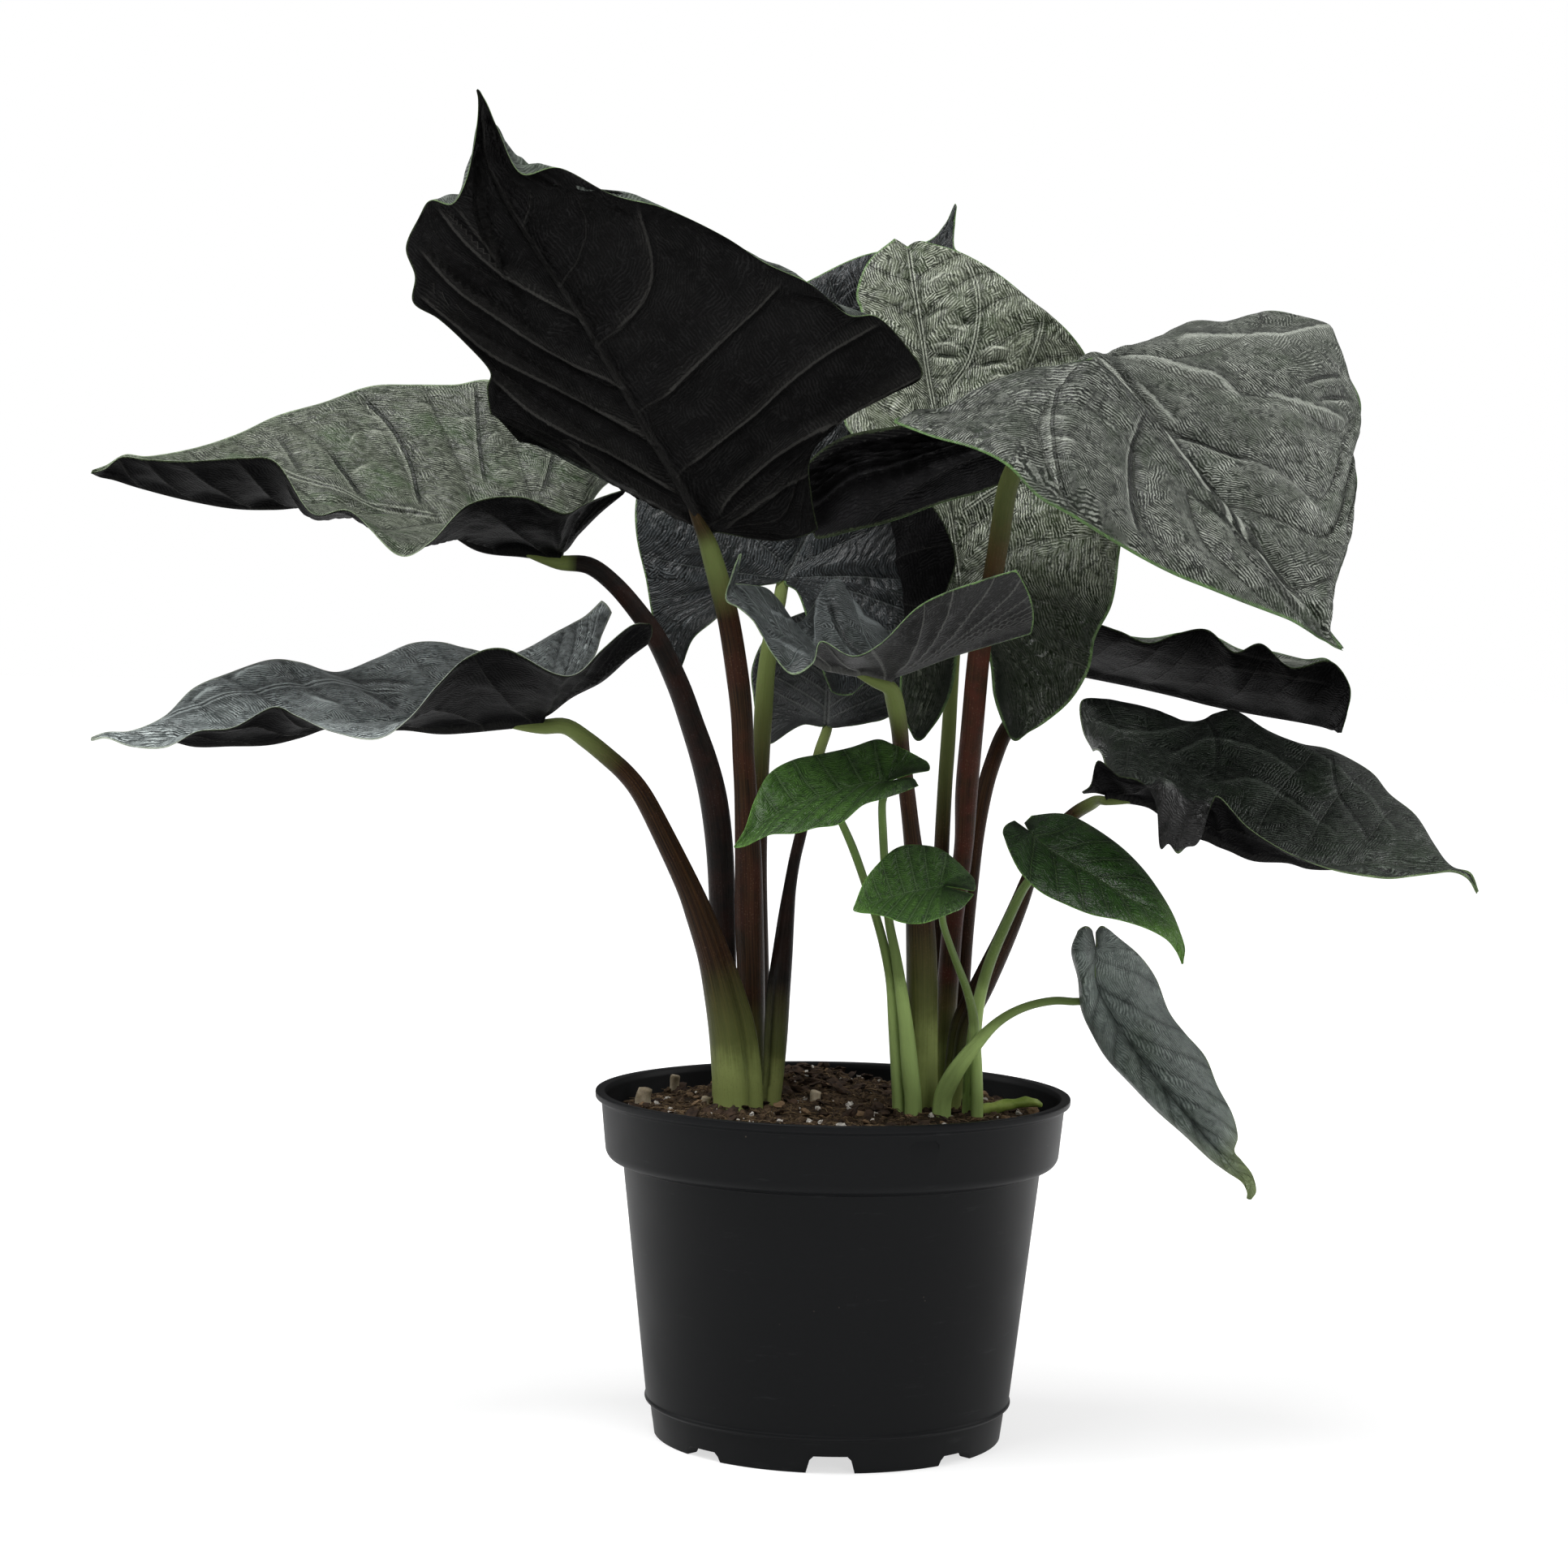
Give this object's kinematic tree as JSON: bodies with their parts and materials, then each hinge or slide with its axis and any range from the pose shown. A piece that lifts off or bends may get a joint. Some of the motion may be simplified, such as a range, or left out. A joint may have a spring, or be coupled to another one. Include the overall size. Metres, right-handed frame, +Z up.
{
  "type": "potted velvet alocasia",
  "caption": "Velvet-leaved alocasia with dark arrow-shaped blades on sheathed stalks, rooted in peat soil inside a round black nursery pot.",
  "frame": {"origin": "middle of the footprint box of the whole plant, on the surface that the pot stands on", "axes": "+Z up along the pot's axis, -Y towards the pictured front, +X to the viewer's right; the pot's axis stands at x 0.0198, y -0.0044"},
  "size_m": [0.4253, 0.1934, 0.4123],
  "materials": {
    "leaf_velvet": "dark grey-green velvet upper side with paler sunken veins",
    "leaf_underside": "near-black matte underside with raised veins",
    "leaf_young": "fresh green satin young leaf",
    "stalk_green": "pale green satin stalk",
    "stalk_dark": "dark red-brown striated stalk, pale green at the foot",
    "pot_plastic": "black injection-moulded plastic, satin-matte",
    "peat": "brown fibrous peat with perlite and bark"
  },
  "bodies": {
    "root": {"blade_back_center": "leaf_velvet", "blade_back_right": "leaf_velvet", "blade_center_low": "leaf_underside", "blade_front_center": "leaf_velvet", "blade_left_lower": "leaf_velvet", "blade_left_upper": "leaf_velvet", "blade_right_hanging": "leaf_velvet", "blade_right_rolled": "leaf_velvet", "blade_right_torn": "leaf_velvet", "blade_right_upper": "leaf_velvet", "blade_small_left": "leaf_young", "blade_small_mid": "leaf_young", "blade_small_right": "leaf_young", "blade_tall_left": "leaf_underside", "cut_stalk_piece": "stalk_green", "nursery_pot": "pot_plastic", "peat_soil": "peat", "petiole_back_center": "stalk_dark", "petiole_back_right": "stalk_dark", "petiole_center_low": "stalk_dark", "petiole_front_center": "stalk_dark", "petiole_left_lower": "stalk_dark", "petiole_left_upper": "stalk_dark", "petiole_right_hanging": "stalk_green", "petiole_right_rolled": "stalk_dark", "petiole_right_torn": "stalk_dark", "petiole_right_upper": "stalk_dark", "petiole_small_left": "stalk_green", "petiole_small_mid": "stalk_green", "petiole_small_right": "stalk_green", "petiole_spear": "stalk_green", "petiole_tall_left": "stalk_dark"}
  },
  "joints": []
}
